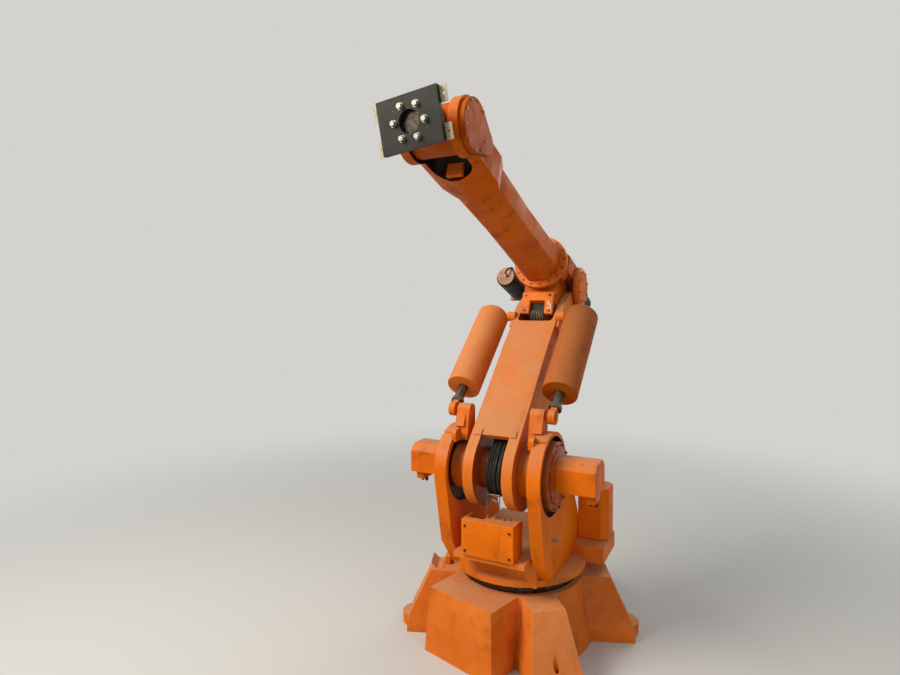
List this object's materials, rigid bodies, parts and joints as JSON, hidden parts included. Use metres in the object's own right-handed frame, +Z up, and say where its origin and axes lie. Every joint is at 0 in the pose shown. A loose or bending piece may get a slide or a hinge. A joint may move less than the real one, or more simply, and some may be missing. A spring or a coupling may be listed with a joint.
{
  "type": "industrial robot arm",
  "caption": "Orange floor-standing industrial robot arm with a turning stand, parallelogram lever, twin balancing cylinders and a tool plate on the wrist.",
  "frame": {"origin": "on the turning axis of the stand, at the level of the underside of the base", "axes": "+X forward, the way the arm points at rest; +Y to the robot's left; +Z up"},
  "size_m": [2.1172, 1.1654, 2.4598],
  "materials": {
    "orange_paint": "worn semi-gloss orange enamel, dusty on top",
    "dark_motor": "black motor paint, dusty",
    "bare_steel": "bare greasy steel",
    "grey_plate": "dark grey satin paint",
    "cream_paint": "chipped cream paint"
  },
  "bodies": {
    "base": {"base_casting": "orange_paint", "bearing_ring": "bare_steel", "connector_box": "orange_paint", "base_cover_plate": "orange_paint", "stop_block": "orange_paint"},
    "stand": {"turntable": "orange_paint", "left_cheek": "orange_paint", "right_cheek": "orange_paint", "left_gearbox": "orange_paint", "right_gearbox": "orange_paint", "axis_1_motor": "orange_paint", "axis_2_motor": "orange_paint", "axis_3_motor": "orange_paint", "front_box": "orange_paint", "cable_guide": "bare_steel", "left_rod_bracket": "orange_paint", "right_rod_bracket": "orange_paint"},
    "lower_arm": {"lower_arm": "orange_paint"},
    "lever": {"parallel_lever": "orange_paint"},
    "parallel_bar": {"parallel_bar": "orange_paint"},
    "left_rod": {"left_balancer_rod": "bare_steel"},
    "right_rod": {"right_balancer_rod": "bare_steel"},
    "left_cylinder": {"left_balancer_cylinder": "orange_paint"},
    "right_cylinder": {"right_balancer_cylinder": "orange_paint"},
    "upper_arm": {"elbow_housing": "orange_paint", "elbow_bracket": "orange_paint", "elbow_gear_cover": "orange_paint", "axis_4_mount": "orange_paint", "axis_4_motor": "dark_motor", "axis_5_motor": "dark_motor", "axis_6_motor": "dark_motor"},
    "arm_tube": {"roll_ring": "orange_paint", "arm_tube": "orange_paint", "wrist_fork": "orange_paint", "wrist_side_cover": "orange_paint", "wrist_round_cover": "orange_paint", "wrist_inner_block": "orange_paint"},
    "wrist": {"tilt_housing": "orange_paint"},
    "tool": {"turning_disc": "bare_steel", "tool_plate": "grey_plate", "upper_left_strap": "cream_paint", "lower_left_strap": "cream_paint", "upper_right_strap": "cream_paint", "lower_right_strap": "cream_paint"}
  },
  "joints": [
    {"name": "axis_1", "type": "hinge", "parent": "base", "child": "stand", "pos_m": [0, 0, 0.4], "axis": [0, 0, 1], "range_deg": [-195, 165]},
    {"name": "axis_2", "type": "hinge", "parent": "stand", "child": "lower_arm", "pos_m": [0.24, 0, 0.9], "axis": [0, 1, 0], "range_deg": [-25, 115]},
    {"name": "axis_3", "type": "hinge", "parent": "lower_arm", "child": "upper_arm", "pos_m": [-0.50246, 0, 1.64246], "axis": [0, -1, 0], "range_deg": [-39, 91]},
    {"name": "lever_turn", "type": "hinge", "parent": "lower_arm", "child": "lever", "pos_m": [0.24, 0, 0.9], "axis": [0, -1, 0], "range_deg": [-39, 91]},
    {"name": "bar_turn", "type": "hinge", "parent": "upper_arm", "child": "parallel_bar", "pos_m": [-0.81448, 0, 1.53503], "axis": [0, -1, 0], "range_deg": [-91, 39]},
    {"name": "axis_4", "type": "hinge", "parent": "upper_arm", "child": "arm_tube", "pos_m": [-0.57571, 0, 1.8552], "axis": [0.9455, 0, 0.3256], "range_deg": [-300, 300]},
    {"name": "axis_5", "type": "hinge", "parent": "arm_tube", "child": "wrist", "pos_m": [0.86147, 0, 2.35007], "axis": [0, 1, 0], "range_deg": [-145.4, 94.6]},
    {"name": "axis_6", "type": "hinge", "parent": "wrist", "child": "tool", "pos_m": [0.86147, 0, 2.35007], "axis": [0.9938, 0, -0.1115], "range_deg": [-216, 384]},
    {"name": "left_rod_turn", "type": "hinge", "parent": "stand", "child": "left_rod", "pos_m": [0.2435, 0.256, 1.177], "axis": [0, 1, 0], "range_deg": [-31.89, 146.53]},
    {"name": "left_balancer_slide", "type": "slide", "parent": "left_rod", "child": "left_cylinder", "axis": [-0.7361, 0, 0.6769], "range_m": [-0.068, 0.206]},
    {"name": "right_rod_turn", "type": "hinge", "parent": "stand", "child": "right_rod", "pos_m": [0.2435, -0.256, 1.177], "axis": [0, 1, 0], "range_deg": [-31.89, 146.53]},
    {"name": "right_balancer_slide", "type": "slide", "parent": "right_rod", "child": "right_cylinder", "axis": [-0.7361, 0, 0.6769], "range_m": [-0.068, 0.206]}
  ],
  "couplings": [
    {"joint": "lever_turn", "follows": "axis_3", "ratio": 1},
    {"joint": "bar_turn", "follows": "axis_3", "ratio": -1},
    {"joint": "left_rod_turn", "follows": "axis_2", "ratio": 1.2737},
    {"joint": "right_rod_turn", "follows": "axis_2", "ratio": 1.2737},
    {"joint": "right_balancer_slide", "follows": "left_balancer_slide", "ratio": 1}
  ]
}
